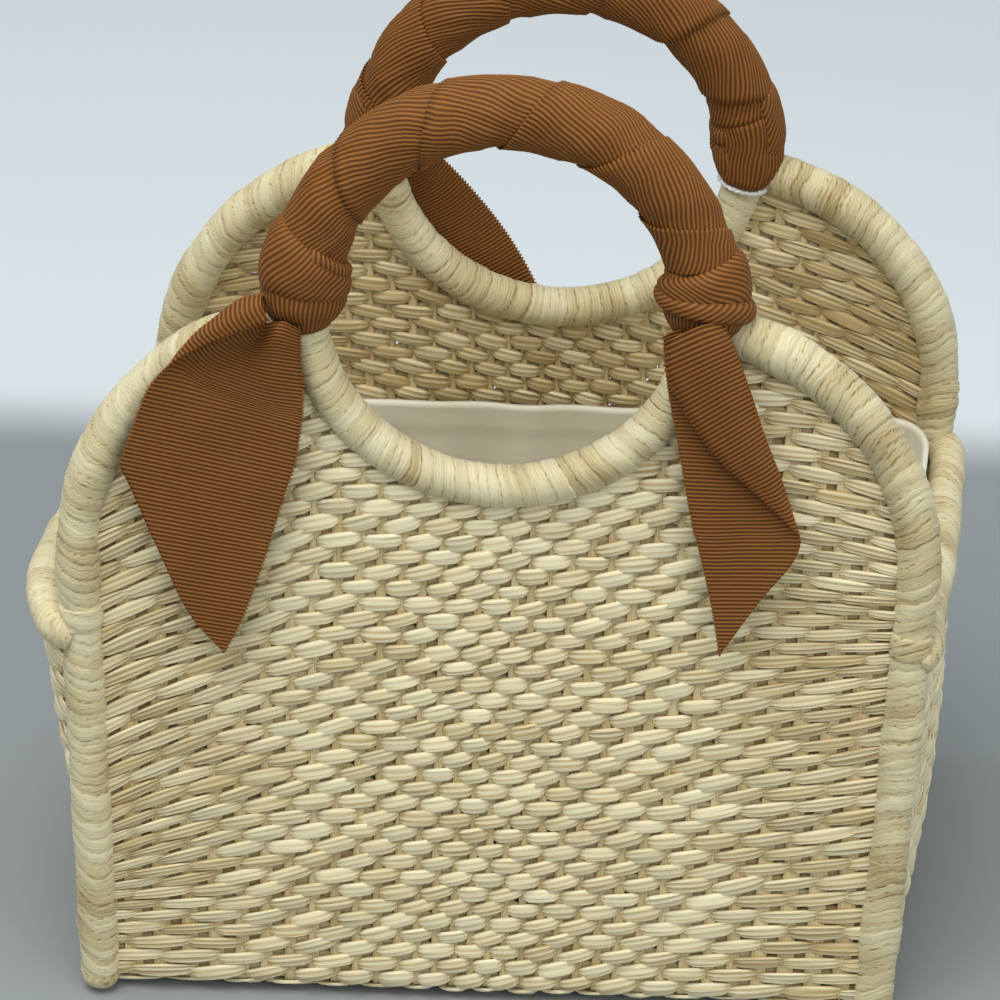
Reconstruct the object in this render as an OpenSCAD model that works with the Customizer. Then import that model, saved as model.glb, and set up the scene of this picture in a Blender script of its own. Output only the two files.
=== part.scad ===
// Small woven straw basket bag: two leaning panels with ring handles wrapped in ribbon,
// a woven base and side gussets, and a loose cloth lining.

/* [Basket] */
// Width over the shoulders, outside the bound rims
panel_w = 218; // [170:1:280]
// Width over the feet of the rims
base_w = 212; // [166:1:276]
// Height of the shoulders, measured up the panel
panel_h = 198; // [165:1:250]
// Depth between the two panels at the table
base_d = 122; // [90:1:170]
// Angle that each panel leans inwards, degrees
lean = 4; // [0:0.5:8]
// Distance that the back panel stands to the right of the front one
skew = 13; // [0:1:20]
// Outside radius of the shoulders
shoulder_r = 72; // [58:1:80]
// Clearance between pieces that lie against each other
fit = 0.2; // [0.1:0.05:0.3]

/* [Bound rims] */
// Radius of the bound outer rim
rim_r = 5.2; // [4:0.1:7]
// Radius of the cane rod inside each rim
rod_r = 2.8; // [2:0.1:3.6]
// Radius of the cane in the fold along a panel's bottom edge
fold_r = 3; // [2:0.1:4]
// Angle round the shoulder at which the rim stops beside the ring, degrees
rim_end = 71; // [60:1:72]
// Radius of the lashing thread
thread_r = 0.5; // [0.3:0.1:0.8]

/* [Ring handles] */
// Radius of the ring's centre line
ring_r = 48; // [38:1:52]
// Radius of the cane ring
core_r = 4; // [3:0.1:4.6]
// Radius of the straw binding on the ring's lower half
ring_bind_r = 5.4; // [5:0.1:6.4]
// Radius of the thicker straw roll on the handle half
roll_r = 7.2; // [6.6:0.1:8]
// Radius over the ribbon on the handle half
wrap_r = 8.5; // [8.2:0.1:9.2]
// Angle above the level of the ring's centre at which the ribbon meets a knot, degrees
wrap_start = 18; // [17:1:24]
// Radius of each ribbon knot
knot_r = 10; // [9.4:0.1:11]
// Height of a knot's centre up the ring, degrees
knot_angle = 5; // [4:0.5:8]

/* [Ribbon tails] */
// Thickness of a hanging tail
tail_t = 1.2; // [0.6:0.1:2]
// Length of a tail below its knot
tail_l = 90; // [60:1:110]

/* [Weave] */
// Thickness of a panel's weave
weave_t = 6; // [4.5:0.1:7]
// Width of a stake
stake_w = 3; // [2:0.1:3.6]
// Thickness of a stake
stake_t = 1.8; // [1.2:0.1:2.4]
// Spacing of the stakes
stake_pitch = 5.6; // [5:0.1:8]
// Thickness of the woven base
base_t = 5; // [4:0.1:6]

/* [Gussets] */
// Height of a gusset's wall
gusset_h = 104; // [70:1:112]
// Thickness of a gusset's weave
gusset_t = 4.4; // [3.6:0.1:5]
// Distance that a gusset bows outwards between the panels
gusset_bow = 8; // [4:0.5:10]
// Angle that a gusset leans outwards, degrees
gusset_flare = 3; // [0:0.5:4]

/* [Lining] */
// Height of the lining's top edge above the table
lining_h = 119; // [80:1:130]
// Thickness of the lining
lining_t = 1; // [0.6:0.1:1.4]

/* [Hidden] */
$fn = 64;

binding_straw = "#E3D8AE";
weave_straw = "#D2BF8F";
stake_straw = "#B49A66";
cane = "#A98A58";
ribbon_brown = "#8A5A33";
cloth = "#DAD8CC";
cord_white = "#F2F2F0";
thread_dark = "#5C4A33";

// The foot of each rim is a ball that stands one clearance above the table, on the panel's hinge line.
hinge_z = rim_r + 1.5*fit;
hinge_y = base_d/2;

// A shoulder is an arc about this point, and the side below it is the arc's tangent.
shoulder_x = panel_w/2 - shoulder_r;
shoulder_z = panel_h - shoulder_r;
taper = atan((panel_w - base_w)/2/(shoulder_z - hinge_z));
function side_x(r, z) = shoulder_x + r*cos(taper) - (shoulder_z - r*sin(taper) - z)*tan(taper);
rim_path_r = shoulder_r - rim_r;
rim_foot_x = side_x(rim_path_r, hinge_z);
rim_run = (shoulder_z - rim_path_r*sin(taper) - hinge_z)/cos(taper);

ring_z = panel_h - 2;

// The rim stops short of the ring, by the triangle of the shoulder's centre, the ring's centre and the rim's end.
ring_reach = ring_r + ring_bind_r + rim_r + 2*fit;
ring_away = norm([shoulder_x, ring_z - shoulder_z]);
ring_corner = (pow(ring_away, 2) + pow(rim_path_r, 2) - pow(ring_reach, 2))/(2*ring_away*rim_path_r);
rim_stop = min(rim_end, atan2(ring_z - shoulder_z, -shoulder_x) - acos(min(1, ring_corner)));

weave_inset = 2*rim_r + fit;
weave_z = hinge_z + fold_r + fit;
stake_count = floor(base_w/2/stake_pitch);

// Tails hang outside the cord under a knot, and are pinned just below the knot's ball.
cord_r = 0.8;
cord_path_r = ring_bind_r + fit + cord_r;
cord_angle = 10;
tail_y = cord_path_r + cord_r + 2*fit;
tail_drop = sqrt(pow(knot_r + 1, 2) - pow(tail_y + tail_t/2, 2));
tail_top = ring_z + ring_r*sin(knot_angle) - tail_drop;
tail_neck = 6;

// A panel's middle plane is this far from the middle of the basket at height z.
function panel_y(z) = hinge_y - (z - hinge_z)*tan(lean);
function skew_at(y) = skew*y/base_d;
skew_angle = atan(skew/base_d);

base_y = panel_y(0) - rim_r - 2*fit;
tongue_x = rim_foot_x - rim_r - 2*fit;
tongue_y = hinge_y - fold_r - 2*fit;

gusset_chord = 2*(panel_y(gusset_h) - rim_r);
gusset_path_r = (pow(gusset_chord/2, 2) + pow(gusset_bow, 2))/(2*gusset_bow);
gusset_rim_z = gusset_h + rim_r + fit/2;
gusset_rim_y = panel_y(gusset_rim_z) - rim_r - 4*thread_r - 3*fit;
gusset_rim_angle = asin(gusset_rim_y/gusset_path_r);
gusset_stakes = 7;

lash_z = gusset_rim_z;
lash_x = side_x(rim_path_r, lash_z);

lining_gap = 2*fit;
lining_x = min(rim_foot_x, side_x(rim_path_r, lining_h) - 2*thread_r - 2*fit) - rim_r - lining_gap;

// A panel is drawn upright with its outside towards -Y, then leaned over its hinge line.
module on_front() {
    translate([-skew/2, -hinge_y, hinge_z])
        rotate([-lean, 0, 0])
            translate([0, 0, -hinge_z])
                children();
}

module on_back() {
    rotate([0, 0, 180])
        on_front()
            children();
}

module both_sides() {
    children();
    mirror([1, 0, 0])
        children();
}

// A flat shape in the panel's plane, given a thickness that is centred on that plane.
module in_panel(t) {
    rotate([90, 0, 0])
        linear_extrude(t, center = true)
            children();
}

// A tube of radius r up one side and round its shoulder.
module rim_tube(r) {
    translate([rim_foot_x, 0, hinge_z])
        rotate([0, taper, 0])
            cylinder(r = r, h = rim_run);
    translate([shoulder_x, 0, shoulder_z])
        rotate([90, 0, 0])
            rotate([0, 0, -taper])
                rotate_extrude(angle = rim_stop + taper)
                    translate([rim_path_r, 0])
                        circle(r);
}

module rim_rod() {
    color(cane)
        both_sides()
            rim_tube(rod_r);
}

module rim_binding() {
    color(binding_straw)
        both_sides()
            difference() {
                union() {
                    rim_tube(rim_r);
                    translate([rim_foot_x, 0, hinge_z])
                        sphere(rim_r);
                }
                rim_tube(rod_r + fit);
            }
}

module fold_cane() {
    length = 2*(rim_foot_x - rim_r - fit);
    color(cane)
        translate([-length/2, 0, hinge_z])
            rotate([0, 90, 0])
                cylinder(r = fold_r, h = length);
}

// The panel inside its rims, with the ring's place cut out of the top.
module weave_outline() {
    r = shoulder_r - weave_inset;
    top_z = shoulder_z - r*sin(taper);
    difference() {
        union() {
            polygon([
                [-side_x(r, weave_z), weave_z],
                [side_x(r, weave_z), weave_z],
                [side_x(r, top_z), top_z],
                [shoulder_x, shoulder_z + r],
                [-shoulder_x, shoulder_z + r],
                [-side_x(r, top_z), top_z]]);
            for (x = [-shoulder_x, shoulder_x])
                translate([x, shoulder_z])
                    circle(r);
        }
        translate([0, ring_z])
            circle(ring_r + ring_bind_r + fit);
    }
}

module stake_row() {
    for (i = [-stake_count:stake_count])
        translate([i*stake_pitch - stake_w/2, 0])
            square([stake_w, panel_h]);
}

module stakes() {
    color(stake_straw)
        in_panel(stake_t)
            intersection() {
                weave_outline();
                stake_row();
            }
}

module weave() {
    color(weave_straw)
        difference() {
            in_panel(weave_t)
                weave_outline();
            in_panel(stake_t)
                stake_row();
        }
}

// A tube of radius r round the ring, from one angle to another.
module ring_tube(r, from, to) {
    translate([0, 0, ring_z])
        rotate([90, 0, 0])
            rotate([0, 0, from])
                rotate_extrude(angle = to - from)
                    translate([ring_r, 0])
                        circle(r);
}

module ring_sleeve(r, bore, from, to) {
    translate([0, 0, ring_z])
        rotate([90, 0, 0])
            rotate([0, 0, from])
                rotate_extrude(angle = to - from)
                    translate([ring_r, 0])
                        difference() {
                            circle(r);
                            circle(bore);
                        }
}

module ring_core() {
    color(cane)
        ring_tube(core_r, 0, 360);
}

module ring_binding() {
    color(binding_straw)
        ring_sleeve(ring_bind_r, core_r + fit, 180, 360);
}

module handle_roll() {
    color(binding_straw)
        ring_sleeve(roll_r, core_r + fit, 0, 180);
}

module ribbon_wrap() {
    color(ribbon_brown)
        ring_sleeve(wrap_r, roll_r + fit/2, wrap_start, 180 - wrap_start);
}

// The knot at the right-hand foot of the ring.
module knot() {
    color(ribbon_brown)
        difference() {
            translate([ring_r*cos(knot_angle), 0, ring_z + ring_r*sin(knot_angle)])
                sphere(knot_r);
            ring_tube(roll_r + fit/2, -30, 40);
        }
}

// Each tail's outline runs from its neck, given as distances from the ring's foot.
module tail(points) {
    color(ribbon_brown)
        translate([ring_r, -tail_y, tail_top])
            rotate([90, 0, 0])
                linear_extrude(tail_t)
                    polygon(concat([[-tail_neck, 0], [tail_neck, 0]], points));
}

// Spread flat, and cut off on the slant.
module open_tail() {
    tail([[27, -13], [43, -41], [18, -tail_l], [8, -57], [2, -32], [0, -11]]);
}

// Folded down its length.
module folded_tail() {
    tail([[24, -56], [5, -tail_l]]);
}

// Blown across behind the ring, towards the middle of the panel.
module crossing_tail() {
    tail([[0, -20], [-22, -66], [-50, -tail_l + 14], [-56, -64], [-32, -38]]);
}

// Turns of thread round the rim, open where they pass into the weave.
module lashing() {
    path_r = rim_r + thread_r + 2*fit;
    reach = 180 - asin((weave_t/2 + thread_r + 2*fit)/path_r) - 2;
    color(thread_dark)
        translate([lash_x, 0, lash_z])
            for (i = [-2:2])
                translate([0, 0, 3*i*thread_r])
                    rotate([0, 0, -reach])
                        rotate_extrude(angle = 2*reach)
                            translate([path_r, 0])
                                circle(thread_r, $fn = 16);
}

module tie_cord() {
    color(cord_white)
        translate([0, 0, ring_z])
            rotate([0, cord_angle, 0])
                translate([ring_r, 0, 0])
                    rotate_extrude()
                        translate([cord_path_r, 0])
                            circle(cord_r, $fn = 24);
}

// A plan outline that follows the skew from the front panel to the back one.
module skewed_plan(half_w, half_d) {
    polygon([
        [-half_w + skew_at(-half_d), -half_d],
        [half_w + skew_at(-half_d), -half_d],
        [half_w + skew_at(half_d), half_d],
        [-half_w + skew_at(half_d), half_d]]);
}

// The space between the panels, held off their middle planes by inset.
module between_panels(inset, low, high) {
    off = inset/cos(lean);
    rotate([90, 0, 90])
        linear_extrude(2*panel_w, center = true)
            polygon([
                [-panel_y(low) + off, low],
                [panel_y(low) - off, low],
                [panel_y(high) - off, high],
                [-panel_y(high) + off, high]]);
}

// The plan inside both bowed gussets, held off them by gap.
module bowed_plan(gap) {
    intersection_for(side = [0, 180])
        rotate([0, 0, side])
            translate([rim_foot_x, 0])
                rotate([0, 0, -skew_angle])
                    translate([gusset_bow - gusset_path_r, 0])
                        circle(gusset_path_r - gusset_t/2 - gap, $fn = 180);
}

module base_plan() {
    intersection() {
        bowed_plan(2*fit);
        square([2*panel_w, 2*base_y], center = true);
    }
    skewed_plan(tongue_x, tongue_y);
}

module base_stake_row() {
    for (i = [-stake_count:stake_count])
        translate([i*stake_pitch - stake_w/2, -base_d/2])
            square([stake_w, base_d]);
}

module base_stakes() {
    color(stake_straw)
        translate([0, 0, (base_t - stake_t)/2])
            linear_extrude(stake_t)
                intersection() {
                    base_plan();
                    base_stake_row();
                }
}

module base_weave() {
    color(weave_straw)
        difference() {
            linear_extrude(base_t)
                base_plan();
            translate([0, 0, (base_t - stake_t)/2])
                linear_extrude(stake_t)
                    base_stake_row();
        }
}

// The right gusset is drawn in its own leaning frame, with its bow's centre on the Z axis.
module gusset_frame() {
    translate([rim_foot_x, 0, 0])
        rotate([0, 0, -skew_angle])
            rotate([0, gusset_flare, 0])
                translate([gusset_bow - gusset_path_r, 0, 0])
                    children();
}

module gusset_trim() {
    intersection() {
        children();
        translate([panel_w/4, 0, 0])
            between_panels(rim_r + 2*fit, 0, 2*panel_h/3);
        translate([panel_w/4, -base_d/2, 0])
            cube([panel_w/2, base_d, panel_h]);
    }
}

module gusset_stake_row() {
    step = 2*gusset_rim_angle/(gusset_stakes + 1);
    for (i = [1:gusset_stakes])
        rotate([0, 0, i*step - gusset_rim_angle])
            translate([gusset_path_r - stake_t/2, -stake_w/2, -rim_r])
                cube([stake_t, stake_w, gusset_h + rim_r]);
}

module gusset_stakes() {
    color(stake_straw)
        gusset_trim()
            gusset_frame()
                gusset_stake_row();
}

module gusset_weave() {
    color(weave_straw)
        gusset_trim()
            gusset_frame()
                difference() {
                    translate([0, 0, -rim_r])
                        cylinder(r = gusset_path_r + gusset_t/2, h = gusset_h + rim_r);
                    translate([0, 0, -2*rim_r])
                        cylinder(r = gusset_path_r - gusset_t/2, h = gusset_h + 3*rim_r);
                    gusset_stake_row();
                }
}

module gusset_arc() {
    gusset_frame()
        translate([0, 0, gusset_rim_z])
            rotate([0, 0, -gusset_rim_angle])
                rotate_extrude(angle = 2*gusset_rim_angle)
                    translate([gusset_path_r, 0])
                        children();
}

module gusset_rod() {
    color(cane)
        gusset_arc()
            circle(rod_r);
}

module gusset_binding() {
    color(binding_straw)
        gusset_arc()
            difference() {
                circle(rim_r);
                circle(rod_r + fit);
            }
}

// The bag's space: out to the gussets between the rims, and out to the panels inside them.
module lining_block(inset, low, high) {
    intersection() {
        translate([0, 0, low])
            linear_extrude(high - low)
                bowed_plan(lining_gap + inset);
        between_panels(rim_r + lining_gap + inset, low, high);
    }
    intersection() {
        translate([0, 0, low])
            linear_extrude(high - low)
                skewed_plan(lining_x - inset, base_d);
        between_panels(weave_t/2 + lining_gap + inset, low, high);
    }
}

module lining() {
    floor_z = base_t + fit;
    color(cloth)
        difference() {
            lining_block(0, floor_z, lining_h);
            lining_block(lining_t, floor_z + lining_t, lining_h + lining_t);
        }
}

// The left side is the right one turned half round, as the skew makes it.
module left_side() {
    rotate([0, 0, 180])
        children();
}

module flip() {
    mirror([1, 0, 0])
        children();
}

on_front() rim_rod();  // front_rim_rod
on_front() rim_binding();  // front_rim_binding
on_front() fold_cane();  // front_fold_cane
on_front() stakes();  // front_stakes
on_front() weave();  // front_weave
on_front() ring_core();  // front_ring_core
on_front() ring_binding();  // front_ring_binding
on_front() handle_roll();  // front_handle_roll
on_front() ribbon_wrap();  // front_ribbon_wrap
on_front() flip() knot();  // front_left_knot
on_front() knot();  // front_right_knot
on_front() flip() open_tail();  // front_left_tail
on_front() folded_tail();  // front_right_tail
on_front() flip() lashing();  // front_left_lashing
on_front() lashing();  // front_right_lashing
on_back() rim_rod();  // back_rim_rod
on_back() rim_binding();  // back_rim_binding
on_back() fold_cane();  // back_fold_cane
on_back() stakes();  // back_stakes
on_back() weave();  // back_weave
on_back() ring_core();  // back_ring_core
on_back() ring_binding();  // back_ring_binding
on_back() handle_roll();  // back_handle_roll
on_back() ribbon_wrap();  // back_ribbon_wrap
on_back() knot();  // back_left_knot
on_back() flip() knot();  // back_right_knot
on_back() crossing_tail();  // back_left_tail
on_back() flip() open_tail();  // back_right_tail
on_back() lashing();  // back_left_lashing
on_back() flip() lashing();  // back_right_lashing
on_back() flip() tie_cord();  // back_tie_cord
base_stakes();
base_weave();
left_side() gusset_stakes();  // left_gusset_stakes
left_side() gusset_weave();  // left_gusset_weave
left_side() gusset_rod();  // left_gusset_rod
left_side() gusset_binding();  // left_gusset_binding
gusset_stakes();  // right_gusset_stakes
gusset_weave();  // right_gusset_weave
gusset_rod();  // right_gusset_rod
gusset_binding();  // right_gusset_binding
lining();
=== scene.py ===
import math

import bpy
import numpy as np
from mathutils import Matrix, Vector


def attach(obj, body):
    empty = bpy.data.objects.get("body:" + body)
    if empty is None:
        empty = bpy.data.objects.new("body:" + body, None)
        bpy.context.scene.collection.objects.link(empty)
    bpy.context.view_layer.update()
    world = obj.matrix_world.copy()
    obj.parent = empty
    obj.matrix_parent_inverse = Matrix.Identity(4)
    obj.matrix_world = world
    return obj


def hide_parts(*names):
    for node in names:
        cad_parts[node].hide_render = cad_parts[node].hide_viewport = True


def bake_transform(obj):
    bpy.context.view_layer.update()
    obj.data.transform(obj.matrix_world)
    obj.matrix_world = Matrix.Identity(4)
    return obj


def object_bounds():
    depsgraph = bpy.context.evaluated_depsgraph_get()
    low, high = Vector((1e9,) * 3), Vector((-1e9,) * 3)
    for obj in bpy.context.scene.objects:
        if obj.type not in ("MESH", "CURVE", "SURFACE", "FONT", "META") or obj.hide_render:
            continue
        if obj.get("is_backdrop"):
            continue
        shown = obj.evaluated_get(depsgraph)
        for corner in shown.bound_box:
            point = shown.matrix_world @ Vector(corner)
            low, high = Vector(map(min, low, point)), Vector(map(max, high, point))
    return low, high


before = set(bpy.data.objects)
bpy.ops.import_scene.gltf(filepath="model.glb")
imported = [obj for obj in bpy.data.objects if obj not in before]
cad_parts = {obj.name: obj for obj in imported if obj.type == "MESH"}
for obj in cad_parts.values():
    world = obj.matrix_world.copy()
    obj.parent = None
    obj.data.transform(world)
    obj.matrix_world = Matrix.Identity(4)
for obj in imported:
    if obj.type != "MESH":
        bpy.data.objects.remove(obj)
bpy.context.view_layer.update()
scene = bpy.context.scene

# places are in metres, angles in degrees and the lens in millimetres
view = dict(place=(.008, -.823, .568), yaw=1.06, pitch=28.79, roll=1.44, lens=129.46, clip=(.05, 20))
studio = dict(skyColour="#DDE6EA", sky=.66, keyPower=15, keySize=1.1, keyPlace=(-.3, -.4, 1.35), fillPower=5,
              fillSize=1.2, fillPlace=(.8, -.9, .8), aim=(0, 0, .12), floorHalf=3, floor="#8C9091",
              far="#D9DEE0", farFrom=.235, farTo=.285, floorRough=.75)


def addCamera():
    # looks along the direction of yaw and pitch, then rolls about it
    yaw, pitch, roll = (math.radians(view[k]) for k in ("yaw", "pitch", "roll"))
    ahead = Vector((-math.sin(yaw) * math.cos(pitch), math.cos(yaw) * math.cos(pitch), -math.sin(pitch)))
    right = Vector((math.cos(yaw), math.sin(yaw), 0))
    up = right.cross(ahead)
    right, up = math.cos(roll) * right + math.sin(roll) * up, math.cos(roll) * up - math.sin(roll) * right
    data = bpy.data.cameras.new("camera")
    data.lens = view["lens"]
    data.clip_start, data.clip_end = view["clip"]
    camera = bpy.data.objects.new("camera", data)
    turned = Matrix((right, up, -ahead)).transposed().to_4x4()
    camera.matrix_world = Matrix.Translation(view["place"]) @ turned
    scene.collection.objects.link(camera)
    scene.camera = camera


def fromHex(code):
    # an sRGB hex colour as linear light
    c = np.array([int(code[i:i + 2], 16) for i in (1, 3, 5)]) / 255
    return (*np.where(c <= .04045, c / 12.92, ((c + .055) / 1.055) ** 2.4).tolist(), 1)


def addNode(tree, kind, inputs=None, stops=(), **settings):
    # adds a node with its settings; an input is a value, or a socket to link; stops are a ramp's (place, hex colour)
    made = tree.nodes.new(kind)
    for key, value in settings.items():
        setattr(made, key, value)
    for key, value in (inputs or {}).items():
        if isinstance(value, bpy.types.NodeSocket):
            tree.links.new(value, made.inputs[key])
        else:
            made.inputs[key].default_value = value
    while stops and len(made.color_ramp.elements) < len(stops):
        made.color_ramp.elements.new(.5)
    for k, (place, colour) in enumerate(stops):
        element = made.color_ramp.elements[k]
        element.position, element.color = place, fromHex(colour)
    return made


def newMaterial(name):
    # an empty material, its node tree and its shader
    material = bpy.data.materials.new(name)
    material.use_nodes = True
    return material, material.node_tree, material.node_tree.nodes["Principled BSDF"]


def dress(tree, skin, colour, height, strength, depth, values):
    # links a colour and a relief to the shader, and sets the values that are the same all over
    tree.links.new(colour, skin.inputs["Base Color"])
    relief = addNode(tree, "ShaderNodeBump", {"Height": height, "Strength": strength, "Distance": depth})
    tree.links.new(relief.outputs["Normal"], skin.inputs["Normal"])
    for key, value in values.items():
        skin.inputs[key].default_value = value


def addLight(name, place, size, power):
    # a round area light turned towards the basket
    data = bpy.data.lights.new(name, "AREA")
    data.shape, data.size, data.energy = "DISK", size, power
    lamp = bpy.data.objects.new(name, data)
    lamp.location = place
    lamp.rotation_mode = "QUATERNION"
    lamp.rotation_quaternion = (Vector(studio["aim"]) - Vector(place)).to_track_quat("-Z", "Y")
    scene.collection.objects.link(lamp)


def addStudio():
    # an even sky, two soft lights, and one flat floor, grey under the basket and paler further back
    scene.view_settings.view_transform = "Standard"
    world = bpy.data.worlds.new("studio")
    world.use_nodes = True
    back = world.node_tree.nodes["Background"]
    back.inputs["Color"].default_value = fromHex(studio["skyColour"])
    back.inputs["Strength"].default_value = studio["sky"]
    scene.world = world
    for name in ("key", "fill"):
        addLight(name, studio[name + "Place"], studio[name + "Size"], studio[name + "Power"])
    half = studio["floorHalf"]
    mesh = bpy.data.meshes.new("floor")
    mesh.from_pydata([(-half, -half, 0), (half, -half, 0), (half, half, 0), (-half, half, 0)], [], [(0, 1, 2, 3)])
    floor = bpy.data.objects.new("floor", mesh)
    scene.collection.objects.link(floor)
    floor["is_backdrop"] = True
    material, tree, skin = newMaterial("paintedFloor")
    at = addNode(tree, "ShaderNodeTexCoord").outputs["Object"]
    y = addNode(tree, "ShaderNodeSeparateXYZ", {"Vector": at}).outputs["Y"]
    away = addNode(tree, "ShaderNodeMapRange", {
        "Value": y, "From Min": studio["farFrom"], "From Max": studio["farTo"]}, interpolation_type="SMOOTHSTEP")
    paint = addNode(tree, "ShaderNodeValToRGB", {"Fac": away.outputs["Result"]},
                    [(0, studio["floor"]), (1, studio["far"])])
    tree.links.new(paint.outputs["Color"], skin.inputs["Base Color"])
    skin.inputs["Roughness"].default_value = studio["floorRough"]
    mesh.materials.append(material)


addCamera()
addStudio()
print("camera and studio set")

# lengths are in millimetres from here until a piece is made; a rib is drawn as wide as it is
ribbon = dict(width=38, rib=1.1, ribHigh=.09, thick=.42, picot=.3, step=.275)


def strawMaterial(name, pale, mid, dark, rough=.55, bump=.00016, streak=1.5, glossy=.35, cloudy=.6):
    # split straw, dried and flattened: pale waxy strips with fine fibres along them, and browner ones
    # grain is in millimetres, across the fibres and then along them; strips, fibres, patches and the piece's own
    # tone, which also carries painted shade and painted highlight, add up to a place on the colour ramp
    material, tree, skin = newMaterial(name)
    grain = addNode(tree, "ShaderNodeAttribute", attribute_name="grain").outputs["Vector"]
    toneAndShade = addNode(tree, "ShaderNodeAttribute", attribute_name="toneAndShade").outputs["Fac"]
    wide = addNode(tree, "ShaderNodeMapping", {"Vector": grain, "Scale": (streak, .05, .05)}).outputs["Vector"]
    fine = addNode(tree, "ShaderNodeMapping", {"Vector": grain, "Scale": (3.4 * streak, .09, .09)}).outputs["Vector"]
    at = addNode(tree, "ShaderNodeTexCoord").outputs["Object"]
    strips, fibres, patches = (
        addNode(tree, "ShaderNodeTexNoise",
                {"Vector": v, "Scale": scale, "Detail": detail, "Roughness": uneven}).outputs["Fac"]
        for v, scale, detail, uneven in ((wide, 1, 2, .5), (fine, 1, 3, .6), (at, 55, 3, .6)))
    both = addNode(tree, "ShaderNodeMath", {0: strips, 1: fibres}, operation="ADD").outputs[0]
    more = addNode(tree, "ShaderNodeMath", {0: patches, 1: cloudy, 2: both}, operation="MULTIPLY_ADD").outputs[0]
    # painted shade in the tone moves the colour towards the ramp's dark end, and painted highlight towards its pale end
    toneWithShade = addNode(tree, "ShaderNodeMath", {0: toneAndShade, 1: .55, 2: more}, operation="MULTIPLY_ADD").outputs[0]
    lower = .5 * (1 - cloudy)
    share = addNode(tree, "ShaderNodeMapRange", {"Value": toneWithShade, "From Min": 1.1 - lower, "From Max": 2.4 - lower})
    colour = addNode(tree, "ShaderNodeValToRGB", {"Fac": share.outputs["Result"]}, [(0, pale), (.42, mid), (1, dark)])
    dress(tree, skin, colour.outputs["Color"], both, .8, bump, {
        "Roughness": rough, "Specular IOR Level": glossy, "Sheen Weight": .15, "Sheen Roughness": .5})
    return material


def ribbonMaterial(name, litCrest, slope, shadedValley):
    # woven grosgrain: round ribs across the ribbon, matt, with a soft sheen, and with painted highlight on their crests
    # and painted shade in their valleys; weft is in millimetres, across the ribbon and then along it, and the ribs are
    # a cosine along it
    material, tree, skin = newMaterial(name)
    weft = addNode(tree, "ShaderNodeAttribute", attribute_name="weft").outputs["Vector"]
    along = addNode(tree, "ShaderNodeSeparateXYZ", {"Vector": weft}).outputs["Y"]
    wave = addNode(tree, "ShaderNodeMath", {0: along, 1: 2 * math.pi / ribbon["rib"]}, operation="MULTIPLY").outputs[0]
    rib = addNode(tree, "ShaderNodeMath", {0: wave}, operation="COSINE").outputs[0]
    height = addNode(tree, "ShaderNodeMapRange", {"Value": rib, "From Min": -1, "From Max": 1}).outputs["Result"]
    threads = addNode(tree, "ShaderNodeMapping", {"Vector": weft, "Scale": (4, 1.2, 1)}).outputs["Vector"]
    speckle = addNode(tree, "ShaderNodeTexNoise", {
        "Vector": threads, "Scale": 1, "Detail": 2, "Roughness": .6}).outputs["Fac"]
    at = addNode(tree, "ShaderNodeTexCoord").outputs["Object"]
    worn = addNode(tree, "ShaderNodeTexNoise", {"Vector": at, "Scale": 70, "Detail": 2}).outputs["Fac"]
    # the ribs' height picks the colour: painted shade in the valleys, painted highlight on the crests
    mixed = addNode(tree, "ShaderNodeMath", {0: speckle, 1: .28, 2: height}, operation="MULTIPLY_ADD").outputs[0]
    mixed = addNode(tree, "ShaderNodeMath", {0: worn, 1: .3, 2: mixed}, operation="MULTIPLY_ADD").outputs[0]
    share = addNode(tree, "ShaderNodeMapRange", {"Value": mixed, "From Min": .12, "From Max": 1.42})
    colour = addNode(tree, "ShaderNodeValToRGB", {"Fac": share.outputs["Result"]},
                     [(0, shadedValley), (.5, slope), (1, litCrest)])
    thread = addNode(tree, "ShaderNodeMath", {0: speckle, 1: .12, 2: height}, operation="MULTIPLY_ADD").outputs[0]
    dress(tree, skin, colour.outputs["Color"], thread, 1, .00012, {
        "Roughness": .72, "Specular IOR Level": .25, "Sheen Weight": .2, "Sheen Roughness": .4,
        "Sheen Tint": fromHex(litCrest)})
    return material


def clothMaterial(name, colour, shade):
    # thin white polyester lining: a fine plain weave with a faint satin sheen
    # its threads are .4 mm apart, and are drawn about twice as coarse as they are
    material, tree, skin = newMaterial(name)
    at = addNode(tree, "ShaderNodeTexCoord").outputs["Object"]
    threads = addNode(tree, "ShaderNodeTexNoise", {"Vector": at, "Scale": 1400, "Detail": 1}).outputs["Fac"]
    cloud = addNode(tree, "ShaderNodeTexNoise", {"Vector": at, "Scale": 40, "Detail": 3}).outputs["Fac"]
    dyed = addNode(tree, "ShaderNodeValToRGB", {"Fac": cloud}, [(.25, shade), (.75, colour)]).outputs["Color"]
    dress(tree, skin, dyed, threads, .4, .0001, {"Roughness": .5, "Sheen Weight": .3})
    return material


def cordMaterial(name, shade, colour):
    # twisted white cotton: matt, with a fuzz about a millimetre across
    material, tree, skin = newMaterial(name)
    at = addNode(tree, "ShaderNodeTexCoord").outputs["Object"]
    fuzz = addNode(tree, "ShaderNodeTexNoise", {"Vector": at, "Scale": 900, "Detail": 2}).outputs["Fac"]
    dyed = addNode(tree, "ShaderNodeValToRGB", {"Fac": fuzz}, [(.3, shade), (.7, colour)]).outputs["Color"]
    dress(tree, skin, dyed, fuzz, .5, .0001, {"Roughness": .8})
    return material


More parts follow.
